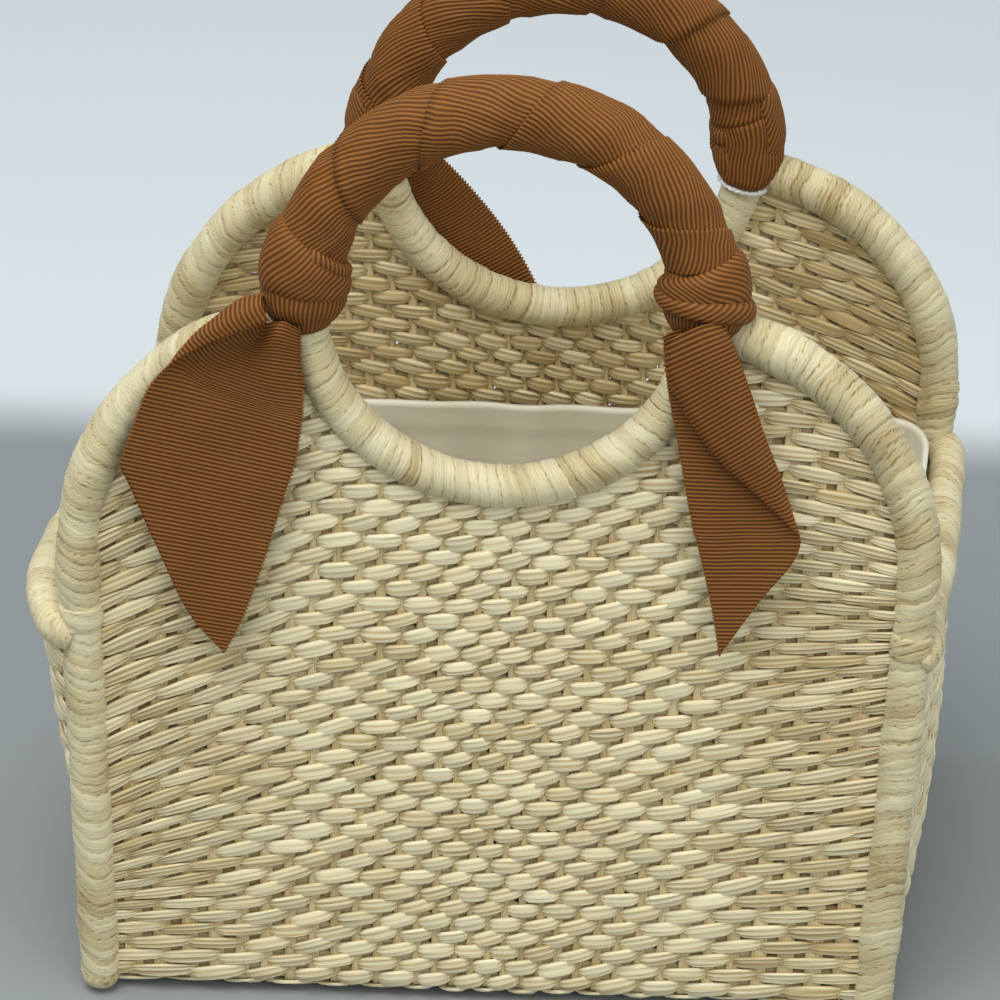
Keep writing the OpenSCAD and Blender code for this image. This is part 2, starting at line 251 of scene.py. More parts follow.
finishes = {
    "weave_straw": strawMaterial("wovenStraw", "#F8EECA", "#EEE1B6", "#BB9F68", cloudy=.3),
    "binding_straw": strawMaterial("boundStraw", "#E6DBB3", "#D3C495", "#98793F", .5, .0003, 2, .4),
    "stake_straw": strawMaterial("stakeStraw", "#ECDCAE", "#D9C38F", "#8E7040", streak=2.4),
    "ribbon": ribbonMaterial("grosgrainRibbon", "#99642B", "#734517", "#46260A"),
    "lining_cloth": clothMaterial("whiteLining", "#E2DCC6", "#D2CAB0"),
    "white_cord": cordMaterial("whiteCottonCord", "#D9D6D2", "#F4F2F0")}
peeledCane = strawMaterial("peeledCane", "#C9AE78", "#B3935C", "#8A6C3E", rough=.45)
print("finishes mixed")


def smooth(t):
    # an ease from 0 to 1: three squares less two cubes
    t = np.clip(t, 0, 1)
    return t * t * (3 - 2 * t)


def unit(v):
    # a vector divided by its length
    return v / np.maximum(np.linalg.norm(v, axis=-1, keepdims=True), 1e-12)


def ripple(p, size, seed, waves=8):
    # smooth uneven heights about -1 to 1: the sum of plane waves of about that length in seeded directions
    random = np.random.default_rng(seed)
    d = random.normal(size=(waves, p.shape[-1]))
    d *= (2 * np.pi / size * random.uniform(.6, 1.6, waves) / np.linalg.norm(d, axis=1))[:, None]
    return np.sin(p @ d.T + random.uniform(0, 2 * np.pi, waves)).sum(-1) / waves ** .5


def smoothRows(values, reach):
    # a running mean down the rows, with the ends held
    padded = np.concatenate([np.repeat(values[:1], reach, 0), values, np.repeat(values[-1:], reach, 0)])
    total = np.cumsum(np.concatenate([0 * padded[:1], padded]), axis=0)
    return (total[2 * reach + 1:] - total[:-2 * reach - 1]) / (2 * reach + 1)


def walkedLength(points):
    # the distance from the first point to each point of a line
    return np.concatenate([[0], np.cumsum(np.linalg.norm(np.diff(points, axis=0), axis=1))])


def outward(points, faces):
    # turns a closed shape's faces over where the volume that they enclose comes out negative
    p = points - points.mean(0)
    volume = sum((np.cross(p[f[:, 0]], p[f[:, k]]) * p[f[:, k + 1]]).sum()
                 for f in faces for k in range(1, f.shape[1] - 1))
    return faces if volume > 0 else [f[:, ::-1] for f in faces]


def gridFaces(rows, columns, wrapRows=False, wrapColumns=False, flip=False, first=0):
    # the four-sided faces of a grid of points, row by row
    i, j = np.meshgrid(np.arange(rows if wrapRows else rows - 1),
                       np.arange(columns if wrapColumns else columns - 1), indexing="ij")
    i2, j2 = (i + 1) % rows, (j + 1) % columns
    faces = np.stack([i * columns + j, i * columns + j2, i2 * columns + j2, i2 * columns + j], -1)
    faces = faces.reshape(-1, 4) + first
    return faces[:, ::-1] if flip else faces


def joinParts(parts):
    # several closed shapes, each with its points, faces and values, as one piece
    faces, offset = {}, 0
    for part in parts:
        for f in outward(part[0], part[1]):
            faces.setdefault(f.shape[1], []).append(f + offset)
        offset += len(part[0])
    return (np.concatenate([p[0] for p in parts]), [np.concatenate(f) for f in faces.values()],
            *(np.concatenate([p[k] for p in parts]) for k in range(2, len(parts[0]))))


def makePiece(name, shape, slot, replaces, ride):
    # puts whole arrays into a mesh, faces outwards, and turns millimetres to metres; the shape is points, faces and
    # the values that its finish reads, which are grain and tone, with its painted shade, for straw and weft for ribbon;
    # ride is a body to ride on, and the two bodies and two places of a blend, if given instead, are not used
    points, faces, *values = shape
    faces = outward(points, faces)
    mesh = bpy.data.meshes.new(name)
    mesh.vertices.add(len(points))
    mesh.vertices.foreach_set("co", (points * .001).astype(np.float32).ravel())
    loops = np.concatenate([f.ravel() for f in faces])
    totals = np.concatenate([np.full(len(f), f.shape[1]) for f in faces])
    mesh.loops.add(len(loops))
    mesh.loops.foreach_set("vertex_index", loops.astype(np.int32))
    mesh.polygons.add(len(totals))
    mesh.polygons.foreach_set("loop_start", (np.cumsum(totals) - totals).astype(np.int32))
    mesh.polygons.foreach_set("use_smooth", np.ones(len(totals), bool))
    for key, value in zip(("weft",) if len(values) == 1 else ("grain", "toneAndShade"), values):
        kind, field = ("FLOAT", "value") if value.ndim == 1 else ("FLOAT_VECTOR", "vector")
        mesh.attributes.new(key, kind, "POINT").data.foreach_set(field, value.astype(np.float32).ravel())
    mesh.update(calc_edges=True)
    mesh.validate()
    mesh.materials.append(finishes[slot])
    piece = bpy.data.objects.new(name, mesh)
    scene.collection.objects.link(piece)
    if isinstance(ride, str):
        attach(piece, ride)
    else:
        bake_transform(piece)
    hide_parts(*replaces)
    return piece


panel = dict(hingeY=61, hingeZ=5.5, lean=4, shift=6.5, shoulderX=37, shoulderZ=126, rimPath=66.8, rimFoot=100.82,
             rimRadius=5.2, taper=1.426, ringZ=196, ringRadius=48, ringStraw=5.4, foldZ=6, foldRadius=2.6)
leanCos, leanSin = math.cos(math.radians(panel["lean"])), math.sin(math.radians(panel["lean"]))
rimTaper = math.radians(panel["taper"])


def onPanel(p, side):
    # (across, outwards, up) on a panel to the basket's frame: leaned over the hinge line, and half turned for the back
    x, out, z = p[..., 0], p[..., 1], p[..., 2] - panel["hingeZ"]
    turn = 1 if side == "front" else -1
    return np.stack([turn * (x - panel["shift"]), turn * (z * leanSin - out * leanCos - panel["hingeY"]),
                     out * leanSin + z * leanCos + panel["hingeZ"]], -1)


def panelPiece(side, name, shape, slot, replaces, ride=None):
    # a piece shaped on a panel, named and placed for its side, that rides on that panel unless another ride is given
    points, *rest = shape
    return makePiece(side + name, (onPanel(points, side), *rest), slot, [f"{side}_{node}" for node in replaces],
                     ride or side + "_panel")


def foldUnder(p):
    # below the fold's level a panel's weave turns inwards round a circle
    x, out, z = p[..., 0], p[..., 1], p[..., 2]
    r = panel["foldRadius"]
    a = np.maximum(panel["foldZ"] - z, 0) / r
    low = z < panel["foldZ"]
    return np.stack([x, np.where(low, (r + out) * np.cos(a) - r, out),
                     np.where(low, panel["foldZ"] - (r + out) * np.sin(a), z)], -1)


def insidePanel(x, z):
    # inside the middle lines of the bound rims and outside the middle line of the ring
    away = np.abs(x)
    foot = panel["shoulderX"] + panel["rimPath"] / math.cos(rimTaper)
    side = foot - (panel["shoulderZ"] - z) * math.tan(rimTaper)
    shoulder = np.hypot(np.maximum(away - panel["shoulderX"], 0), z - panel["shoulderZ"]) < panel["rimPath"] - 1
    outsideRing = np.hypot(x, z - panel["ringZ"]) > panel["ringRadius"] + .5
    return np.where(z < panel["shoulderZ"], away < side - 1, shoulder) & outsideRing


def endsOf(starts):
    # the first station of every strand, and then the last of every strand
    return np.concatenate([starts[:-1], starts[1:] - 1])


def spread(values, around, ends):
    # a value per station to a value per point, the poles included
    return np.concatenate([np.repeat(values, around, axis=0), values[ends]])


def tangents(p, starts):
    # the direction along each strand, from the points before and after
    before, after = np.arange(len(p)) - 1, np.arange(len(p)) + 1
    before[starts[:-1]] += 1
    after[starts[1:] - 1] -= 1
    return unit(p[after] - p[before])


def sweepStrands(centre, tall, thick, profile, starts):
    # a closed profile carried along many strands laid end to end in one array, each closed at both ends
    # starts is where each strand begins, with the total at the end
    count, around = len(centre), profile.shape[-2]
    shape = np.broadcast_to(profile, (count, around, 2))
    points = centre[:, None] + shape[..., :1] * tall[:, None] + shape[..., 1:] * thick[:, None]
    last = np.zeros(count, bool)
    last[starts[1:] - 1] = True
    k = np.flatnonzero(~last)[:, None] * around
    j = np.arange(around)[None]
    j2 = (j + 1) % around
    quads = np.stack([k + j, k + around + j, k + around + j2, k + j2], -1).reshape(-1, 4)
    strands = len(starts) - 1
    pole = count * around + np.arange(2 * strands)[:, None]
    first, final = starts[:-1, None] * around, (starts[1:, None] - 1) * around
    caps = [np.stack(np.broadcast_arrays(*corners), -1).reshape(-1, 3) for corners in
            ((pole[:strands], first + j, first + j2), (pole[strands:], final + j2, final + j))]
    return np.concatenate([points.reshape(-1, 3), centre[endsOf(starts)]]), [quads, np.concatenate(caps)]


def strandGrain(across, along, lane, starts):
    # the straw's grain over swept strands: across the fibres, along them, and each strand's own lane of the pattern
    ends = endsOf(starts)
    around = across.shape[1]
    across = np.concatenate([across.ravel(), np.zeros(len(ends))])
    lane = spread(lane, around, ends)
    return np.stack([across + lane, spread(along, around, ends), lane], -1)


# a split straw strand seen end on: three strips side by side on its face, and a plain back
lobed = np.array([(-1, 0), (-.72, .84), (-.36, .42), (.02, 1), (.38, .46), (.74, .82), (1, 0),
                  (.6, -.7), (0, -.8), (-.6, -.7)])
lobedShade = np.array([.9, -.1, 1.1, -.3, 1, -.1, .9, .6, .6, .6])  # painted shade and painted highlight: the crests of its strips are lighter, and its edges, grooves and back darker
# a stake seen end on: five fibres side by side, and their backs
flatBundle = np.array([(-1, 0), (-.82, .9), (-.6, .35), (-.4, 1), (-.18, .4), (.02, 1.05), (.22, .4), (.42, .95),
                       (.62, .35), (.84, .9), (1, 0), (.62, -.8), (.22, -.5), (-.18, -.8), (-.6, -.6)])
alongFloat = np.array([-1, -.88, -.62, -.22, .22, .62, .88, 1])

weave = dict(firstRow=2.2, lastRow=193, rowPitch=4.35, pitch=4.25, spread=.0085, depth=1.2, tall=2.14, thick=.7,
             reach=.96, sideReach=.24, tilt=.19, wander=.2, roll=.12, leftSlope=.56, rightLow=.22, rightHigh=-.36,
             loose=45, looseOver=40, insideShade=0)
weaveHalves = dict(Low=(0, 84), High=(84, 200))
# painted shade for the floats that lie on a panel's inner side, heavier on the back
panelInsideShade, panelSeed = dict(front=.2, back=.7), dict(front=11, back=42)


def stakeNumber(x, s):
    # counts the stakes out from the middle: they stand pitch apart there and spread towards the sides
    return np.sign(x) * np.log1p(s["spread"] * np.abs(x)) / (s["spread"] * s["pitch"])


def stakePlace(n, s):
    # where a stake stands: the same count turned round
    return np.sign(n) * np.expm1(np.abs(n) * s["spread"] * s["pitch"]) / s["spread"]


def rowHeight(z, x, s):
    # rows run level in the middle and bend towards the sides as they were beaten down, as the square of the distance
    left = -s["leftSlope"] * smooth((z - 12) / 60)
    right = s["rightLow"] * smooth((z - 12) / 40) + (s["rightHigh"] - s["rightLow"]) * smooth((z - 80) / 75)
    return z + np.where(x < 0, left, right) * np.maximum(np.abs(x) - 35, 0) ** 2 / 140


def levelRow(z, x, s):
    # rows that stay level
    return z


def floatPlaces(rows, half):
    # the stake number, row number, base height and first and last stake of every float; half keeps one side's floats
    found = []
    for number, z, low, high in rows:
        k = np.arange(math.ceil(low - .2), math.floor(high + .2) + 1)
        k = k[k < 0] if half < 0 else k[k >= 0] if half > 0 else k
        found.append([k, *(np.full(len(k), v) for v in (number, z, low, high))])
    return [np.concatenate(column)[:, None] for column in zip(*found)]


def weaveRows(rows, s, seed, heightOf=rowHeight, half=0):
    # plain weave, float by float: each strand lies outside one stake and inside the next, and the next row does the
    # opposite; a float is a lens that reaches from the stake before to the stake after, and dives at both ends
    # rows holds (row number, base height, first stake number, last stake number)
    random = np.random.default_rng(seed)
    k, row, base, first, final = floatPlaces(rows, half)
    chance = random.uniform(-1, 1, (int(row.max()) + 2, 200, 8))
    luck = np.moveaxis(chance[row[:, 0], k[:, 0] % 200], 1, 0)[:, :, None]
    side = np.where((k + row) % 2 == 0, 1., -1.)
    q = alongFloat[None]
    away = np.abs(q)
    stake = stakePlace(k, s)
    loose = smooth((np.abs(stake) - s["loose"]) / s["looseOver"])
    reach = (s["reach"] + s["sideReach"] * loose) * (1 + .09 * luck[6])
    x = stakePlace(np.clip(k + q * reach + .07 * luck[4], first, final) + q * 1e-3, s)
    gap = (heightOf(base + 1, x, s) - heightOf(base, x, s)).clip(.7, 1.3)
    slope = s["tilt"] * (1 - .7 * loose) * (1 + .7 * luck[0])
    z = heightOf(base, x, s) + slope * (x - stake) + s["wander"] * luck[1]
    out = side * s["depth"] * (1 - .95 * away ** 3.4) * (1 + .1 * luck[2]) + .12 * luck[3]
    blunt = (1 - away ** (5.5 - 2 * loose)).clip(0) ** .5
    tall = np.maximum(s["tall"] * gap * blunt * (1 - .14 * loose) * (1 + .12 * luck[5]), .75)
    thick = s["thick"] * (.5 + .5 * (1 - q ** 4)) * (1 + .15 * luck[4])
    count, steps = x.shape
    centre = np.stack([x, out, z], -1).reshape(-1, 3)
    starts = np.arange(count + 1) * steps
    along = tangents(centre, starts)
    thickWay = unit(np.array([0., 1, 0]) - along * along[:, 1:2])
    tallWay = np.cross(along, thickWay)
    turn, flat, slack = (np.repeat(v, steps, 1).reshape(-1, 1) for v in (s["roll"] * luck[6], side, loose))
    thickWay, tallWay = (thickWay * np.cos(turn) + tallWay * np.sin(turn),
                         tallWay * np.cos(turn) - thickWay * np.sin(turn))
    # the grooves between a strand's strips wander, deeper at the loose sides, and its strips rise and sink
    profile = np.repeat(lobed[None], count * steps, axis=0)
    at = np.stack([np.repeat(k[:, 0], steps) * 2.3 + np.tile(q[0], count) * .8, np.repeat(row[:, 0], steps) * 7.], -1)
    for strip, point in enumerate((1, 3, 5)):
        profile[:, point, 1] *= 1 + .3 * ripple(at, 3.1, seed + strip)
    profile[:, (2, 4), 1] *= 1 - .8 * slack
    profile[:, (2, 3, 4), 0] += .15 * ripple(at, 4.3, seed + 9)[:, None]
    tall, thick = tall.reshape(-1, 1), thick.reshape(-1, 1)
    points, faces = sweepStrands(centre, tallWay * tall * flat, thickWay * thick * flat, profile, starts)
    lane = np.repeat(random.uniform(0, 400, count), steps)
    grain = strandGrain(profile[..., 0] * tall, centre[:, 0], lane, starts)
    # each float has its own tone, with its row's, and the floats on the inner side get painted shade; the ends that
    # dive get more painted shade
    toneAndShade = luck[7] * .38 + .15 * chance[row[:, 0], 0, 7][:, None] + .35 * loose + s["insideShade"] * (side < 0)
    shade = lobedShade + 1.2 * np.tile(away[0] ** 7, count)[:, None]
    toneAndShade = spread(np.repeat(toneAndShade, steps, 1).ravel(), len(lobed), endsOf(starts))
    return points, faces, grain, toneAndShade + np.concatenate([shade.ravel(), np.full(2 * count, 1.5)])


def panelWeave(side, low, high):
    # every row between two heights, from edge to edge of each stretch that lies inside the rims and the ring
    s = dict(weave, insideShade=panelInsideShade[side])
    across = np.arange(-108, 108.1, .5)
    rows = []
    for number, z in enumerate(np.arange(s["firstRow"], s["lastRow"], s["rowPitch"])):
        if low <= z < high:
            level = rowHeight(z, across, s)
            inside = insidePanel(across, level) & (level > 1.5)
            edges = np.flatnonzero(np.diff(np.concatenate([[0], inside.astype(int), [0]]))).reshape(-1, 2)
            rows += [(number, z, stakeNumber(across[a], s), stakeNumber(across[b - 1], s))
                     for a, b in edges if b - a > 9]
    points, *rest = weaveRows(rows, s, panelSeed[side])
    return foldUnder(points), *rest


stakes = dict(share=.5, sideShare=.16, thick=.62, step=5, top=192, edge=99)


def fibreBundles(centre, width, thick, starts, lane):
    # straight bundles of fibres: the flat profile carried up each stake
    points, faces = sweepStrands(centre, width[:, None] * [1, 0, 0], np.tile([0, thick, 0], (len(width), 1)),
                                 flatBundle, starts)
    grain = strandGrain(flatBundle[:, 0] * width[:, None], centre[:, 2], lane, starts)
    return points, faces, grain, .3 * np.sin(grain[:, 2])


def stakeRow(x, along, width, thick, lane):
    # equal straight stakes standing at x
    centre = np.stack([np.repeat(x, len(along)), np.zeros(len(x) * len(along)), np.tile(along, len(x))], -1)
    return fibreBundles(centre, np.full(len(centre), width), thick, np.arange(len(x) + 1) * len(along),
                        np.repeat(np.arange(len(x)) * lane, len(along)))


def panelStakes(side):
    # stakes from the turned-under edge up to the rims and the ring, each with a slight wave, and wider at the sides
    random = np.random.default_rng(5 if side == "front" else 6)
    x = stakePlace(np.arange(-23, 24), weave)
    levels = np.concatenate([np.arange(2., 10, .8), np.arange(12, stakes["top"], stakes["step"])])
    centre, width, lane = [], [], []
    for place in x[np.abs(x) < stakes["edge"]]:
        z = levels[insidePanel(np.full(len(levels), place), levels)]
        wave = .25 * np.sin(z / 17 + random.uniform(0, 6)) * smooth(z / 40)
        centre.append(np.stack([place + wave, np.zeros(len(z)), z], -1))
        share = stakes["share"] + stakes["sideShare"] * smooth((abs(place) - weave["loose"]) / weave["looseOver"])
        width.append(np.full(len(z), share * weave["pitch"] * (1 + weave["spread"] * abs(place)) / 2))
        lane.append(np.full(len(z), random.uniform(0, 400)))
    starts = np.cumsum([0] + [len(z) for z in lane])
    points, *rest = fibreBundles(np.concatenate(centre), np.concatenate(width), stakes["thick"], starts,
                                 np.concatenate(lane))
    return foldUnder(points), *rest


for side in ("front", "back"):
    for part, (low, high) in weaveHalves.items():
        panelPiece(side, "Weave" + part, panelWeave(side, low, high), "weave_straw", ["weave"])
    panelPiece(side, "Stakes", panelStakes(side), "stake_straw", ["stakes", "fold_cane"])
print("panels woven")

rimBinding = dict(step=.42, around=40, width=2.7, uneven=.6, bulge=.2, flat=6, slant=2.7, wander=.62, seed=20)
ringBinding = dict(step=.42, around=40, width=3.4, uneven=.5, bulge=.18, flat=7, slant=1.4, wander=.42, seed=8,
                   first=172, last=368)
frayed = dict(count=34, long=8, lift=1.5, thick=.17, diamond=np.array([(1, 0), (0, 1), (-1, 0), (0, -1)]))
lashing = dict(level=109, reach=3.4, high=.75, width=1.9, seed=90)


def boundTube(line, radius, s, first=0, last=None):
    # a strand wound round a rod: its height on the tube depends on the distance along the rod,
    # slanted and wandering round it, so that each turn is a low rounded ridge with a groove beside it
    along = unit(np.gradient(line["centre"], axis=0))
    arc = walkedLength(line["centre"])
    side = unit(line["side"] - along * (line["side"] * along).sum(-1, keepdims=True))
    other = np.cross(along, side)
    a, r = np.meshgrid(arc, np.linspace(0, 2 * np.pi, s["around"], endpoint=False), indexing="ij")
    cos, sin = np.cos(r), np.sin(r)
    random = np.random.default_rng(s["seed"])
    flat = np.stack([a, 8 * cos, 8 * sin], -1)
    uneven = ripple(flat, 17, s["seed"]) + .35 * ripple(flat, 5.5, s["seed"] + 1)
    at = a + s["slant"] * np.cos(r - .9) + s["wander"] * uneven
    count = int(arc[-1] / s["width"] * 1.6) + 30
    edges = np.cumsum(s["width"] * random.uniform(1 - s["uneven"], 1 + s["uneven"], count)) - 25
    turn = np.clip(np.searchsorted(edges, at) - 1, 0, count - 2)
    wide = edges[turn + 1] - edges[turn]
    share = (at - edges[turn]) / wide
    middle = np.abs(2 * share - 1)
    nearEdge = np.minimum(1, 6 * np.minimum(share, 1 - share))
    high = s["bulge"] * wide / s["width"] * (1 - middle ** s["flat"])
    high = high + .14 * random.uniform(-1, 1, count)[turn] * nearEdge
    # a few long fibres lie proud of each turn
    fibre = np.sin(at * 2 * np.pi / .84 + 2 * ripple(flat, 11, s["seed"] + 2))
    high += .08 * fibre * (share * (1 - share) * 4)
    size = (np.broadcast_to(radius, arc.shape)[:, None] - .22 + high)[..., None]
    points = line["centre"][:, None] + size * (cos[..., None] * side[:, None] + sin[..., None] * other[:, None])
    grain = np.stack([at, 5 * cos + 9 * np.sin(turn * 12.9898), 5 * sin], -1)
    # each turn has its own tone; painted shade darkens the cracks between turns, and the raised fibres are painted
    # lighter
    toneAndShade = (random.uniform(-1, 1, count)[turn] * .5 + .3 * ripple(flat, 30, s["seed"] + 4) - .25 * fibre
            + 1.7 * middle ** 13)
    # only the wanted stretch is kept, with a pole at each end
    points, grain, toneAndShade, centre = (v[first:last] for v in (points, grain, toneAndShade, line["centre"]))
    rows, columns = toneAndShade.shape
    j = np.arange(columns)
    j2 = (j + 1) % columns
    far, pole = (rows - 1) * columns, rows * columns
    faces = [gridFaces(rows, columns, wrapColumns=True), np.stack([np.full(columns, pole), j2, j], -1),
             np.stack([np.full(columns, pole + 1), far + j, far + j2], -1)]
    points, grain, toneAndShade = points.reshape(-1, 3), grain.reshape(-1, 3), toneAndShade.ravel()
    return (np.concatenate([points, centre[[0, -1]]]), faces, np.concatenate([grain, grain[[0, -1]]]),
            np.concatenate([toneAndShade, toneAndShade[[0, -1]]]))


def rimLine(sign, step):
    # up one side of a panel from its rounded foot, round the shoulder and in under the knot, with its radius
    r, foot, low = panel["rimPath"], panel["rimFoot"], panel["hingeZ"]
    run = (panel["shoulderZ"] - r * math.sin(rimTaper) - low) / math.cos(rimTaper)
    total = run + r * (math.radians(78) + rimTaper)
    s = np.concatenate([-panel["rimRadius"] * np.cos(np.linspace(.06, np.pi / 2, 12))[:-1], np.arange(0, total, step)])
    bend = np.maximum(s - run, 0) / r - rimTaper
    x = np.where(s < run, foot + s * math.sin(rimTaper), panel["shoulderX"] + r * np.cos(bend))
    z = np.where(s < run, low + s * math.cos(rimTaper), panel["shoulderZ"] + r * np.sin(bend))
    radius = panel["rimRadius"] * np.sqrt(np.clip(1 - (np.minimum(s, 0) / 5.25) ** 2, .0, 1))
    radius = radius * (1 - .25 * smooth((s - total + 9) / 9))
    radius = radius * (1 + .03 * ripple(s[:, None], 35, 5 + sign)) * (1 + .1 * smooth((s - run + 20) / 50))
    return dict(centre=np.stack([sign * x, 0 * x, z], -1), side=np.tile([-sign, 0, 0.], (len(x), 1))), radius


def ringLine(s):
    # the lower arc of the ring, by its angles from the right
    a = np.radians(np.arange(s["first"], s["last"], math.degrees(s["step"] / panel["ringRadius"])))
    way = np.stack([np.cos(a), 0 * a, np.sin(a)], -1)
    return dict(centre=panel["ringRadius"] * way + np.array([0, 0, panel["ringZ"]]), side=-way)


def looseFibres(line, radius, s, seed):
    # thin fibres that have come away from a bound tube: each starts under the straw and runs round the tube at a
    # slant, and its height above the straw grows with the distance along it
    random = np.random.default_rng(seed)
    t = np.linspace(0, 1, 8)[None]
    first, turn, slant, long, high = (random.uniform(low, high, (s["count"], 1)) for low, high in
                                      ((.05, .97), (0, 2 * np.pi), (-.8, .8), (.3, 1), (.2, 1)))
    index = np.arange(len(radius))
    at = first * (len(radius) - 1) + t * long * s["long"] * np.sin(slant) / rimBinding["step"]
    angle = (turn + t * long * s["long"] * np.cos(slant) / panel["rimRadius"])[..., None]
    along = unit(np.gradient(line["centre"], axis=0))
    middle, side, other = (np.stack([np.interp(at, index, v[:, k]) for k in range(3)], -1)
                           for v in (line["centre"], line["side"], np.cross(along, line["side"])))
    size = (np.interp(at, index, radius) - .15 + s["lift"] * high * t ** 1.5)[..., None]
    centre = (middle + size * (np.cos(angle) * side + np.sin(angle) * other)).reshape(-1, 3)
    starts = np.arange(s["count"] + 1) * t.size
    ahead = tangents(centre, starts)
    wide = unit(np.cross(ahead, np.repeat(middle[:, 0], t.size, 0) - centre + np.array([.01, .02, .03])))
    thin = s["thick"] * np.tile(1 - .6 * t[0], s["count"])[:, None]
    points, faces = sweepStrands(centre, wide * thin, np.cross(ahead, wide) * thin * .7, s["diamond"], starts)
    lane = np.full(len(points), 3.)
    return points, faces, np.stack([lane, points[:, 2], lane], -1), np.full(len(points), .2)


def boundRims(side):
    # both rims of a panel, with their loose fibres
    parts = []
    for sign in (-1, 1):
        s = dict(rimBinding, seed=rimBinding["seed"] + 7 * sign + (50 if side == "back" else 0))
        line, radius = rimLine(sign, s["step"])
        parts += [boundTube(line, radius, s), looseFibres(line, radius, frayed, s["seed"])]
    return joinParts(parts)


def lashings():
    # the gussets are tied to the rims by a few more turns of the same straw, thickest in their middle like a circle
    parts = []
    for sign in (-1, 1):
        line, radius = rimLine(sign, rimBinding["step"])
        level = line["centre"][:, 2] - lashing["level"]
        near = np.abs(level) < lashing["reach"]
        line = {key: value[near] for key, value in line.items()}
        swell = lashing["high"] * np.sqrt(np.clip(1 - (level[near] / (lashing["reach"] + .05)) ** 2, 0, 1))
        s = dict(rimBinding, width=lashing["width"], seed=lashing["seed"] + sign)
        parts.append(boundTube(line, radius[near] + swell, s))
    return joinParts(parts)


for side in ("front", "back"):
    panelPiece(side, "RimBinding", boundRims(side), "binding_straw", ["rim_binding"])
    panelPiece(side, "Lashings", lashings(), "binding_straw", ["left_lashing", "right_lashing"])
    s = dict(ringBinding, seed=ringBinding["seed"] + (30 if side == "back" else 0))
    panelPiece(side, "RingBinding", boundTube(ringLine(s), panel["ringStraw"], s), "binding_straw", ["ring_binding"])
print("rims and rings bound")

wrap = dict(pitch=23.9, radius=7.95, lift=.7, start=24.4, lag=.75, total=125.7, overlap=16.2, columns=18,
            flat=(.038, .3845), area=.01148, first=165, seeds=dict(front=3, back=4))


def cubicWeights(t):
    # the four weights of a smooth curve through evenly spaced values
    return (-.5 * t + t ** 2 - .5 * t ** 3, 1 - 2.5 * t ** 2 + 1.5 * t ** 3,
            .5 * t + 2 * t ** 2 - 1.5 * t ** 3, -.5 * t ** 2 + .5 * t ** 3)


def netSurface(net, a, b):
    # the smooth surface through a net of points, at row a and column b, both counted in net steps
    for axis in (0, 1):
        net = np.moveaxis(net, axis, 0)
        net = np.concatenate([2 * net[:1] - net[1:2], net, 2 * net[-1:] - net[-2:-1]])
        net = np.moveaxis(net, 0, axis)
    a, b = np.broadcast_arrays(a, b)
    i = np.clip(np.floor(a), 0, net.shape[0] - 4).astype(int)
    j = np.clip(np.floor(b), 0, net.shape[1] - 4).astype(int)
    down, across = cubicWeights(a - i), cubicWeights(b - j)
    return sum((down[k] * across[m])[..., None] * net[i + k, j + m] for k in range(4) for m in range(4))


def closedSheet(middle, across, along, layer=0, ribHigh=ribbon["ribHigh"], thick=ribbon["thick"]):
    # cloth over a grid of points: a face half the thickness to each side, ribs standing on both, and closed edges
    rows, columns = middle.shape[:2]
    across, along = np.broadcast_to(across, (rows, columns)), np.broadcast_to(along, (rows, columns))
    normal = unit(np.cross(np.gradient(middle, axis=0), np.gradient(middle, axis=1)))
    height = (thick / 2 + ribHigh * np.cos(2 * np.pi * along / ribbon["rib"]))[..., None]
    points = np.concatenate([(middle + normal * height).reshape(-1, 3), (middle - normal * height).reshape(-1, 3)])
    under = rows * columns
    index = np.arange(under).reshape(rows, columns)
    border = np.concatenate([index[:-1, 0], index[-1, :-1], index[:0:-1, -1], index[0, :0:-1]])
    following = np.roll(border, -1)
    faces = [gridFaces(rows, columns, flip=True), gridFaces(rows, columns, first=under),
             np.stack([following, border, border + under, following + under], -1)]
    weft = np.stack([across, along, np.full(across.shape, layer)], -1).reshape(-1, 3)
    return points, faces, np.concatenate([weft, weft])


def onRing(phi, theta, radius):
    # a point on the handle's tube: phi round the ring from its right end, theta from the outer side over the front
    way = np.stack([np.cos(phi), 0 * phi, np.sin(phi)], -1)
    turned = np.cos(theta)[..., None] * way + np.sin(theta)[..., None] * np.array([0, 1., 0])
    return panel["ringRadius"] * way + np.array([0, 0, panel["ringZ"]]) + radius[..., None] * turned


def ribbonWrap(side):
    # a ribbon wound as a screw: it moves along the tube by the pitch each turn, and laps over the turn before
    s, seed, full = wrap, wrap["seeds"][side], ribbon["width"]
    around = s["radius"] + .4
    slope = math.atan(s["pitch"] / (2 * math.pi * around))
    sin, cos = math.sin(slope), math.cos(slope)
    length = np.arange(1 - (s["start"] + full * cos) / sin, (s["total"] - s["start"]) / sin - 1,
                       ribbon["step"])[:, None]
    zigzag = ribbon["picot"] * np.cos(2 * np.pi * length / ribbon["rib"])
    # both ends are cut square to the tube
    low = (-s["start"] - length * sin) / cos
    high = (s["total"] - s["start"] - length * sin) / cos
    low = np.where(low > 0, np.minimum(low, full - .4), -zigzag)
    high = np.where(high < full, np.maximum(high, .4), full + zigzag)
    width = low + (high - low) * np.linspace(0, 1, s["columns"])
    theta = -(length * cos - width * sin) / around
    place = s["start"] + length * sin + width * cos + s["lag"] * np.cos(theta)
    spot = np.stack([place, 8 * np.cos(theta), 8 * np.sin(theta)], -1)
    theta = theta + .03 * ripple(spot, 16, seed)
    radius = s["radius"] + s["lift"] * (1 - smooth((width - s["overlap"]) / 3)) + .2 * ripple(spot, 15, seed + 1)
    radius = radius + .1 * ripple(np.stack([width * .3, length + 0 * width], -1), 5, seed + 2)
    middle = onRing(math.radians(s["first"]) - place / panel["ringRadius"], theta, radius)
    # where the ribbon is pulled round the curve its ribs wander
    wander = .4 * ripple(spot, 13, seed + 3) * smooth(width / 4) * smooth((full - width) / 4)
    return closedSheet(middle, width, length + wander)


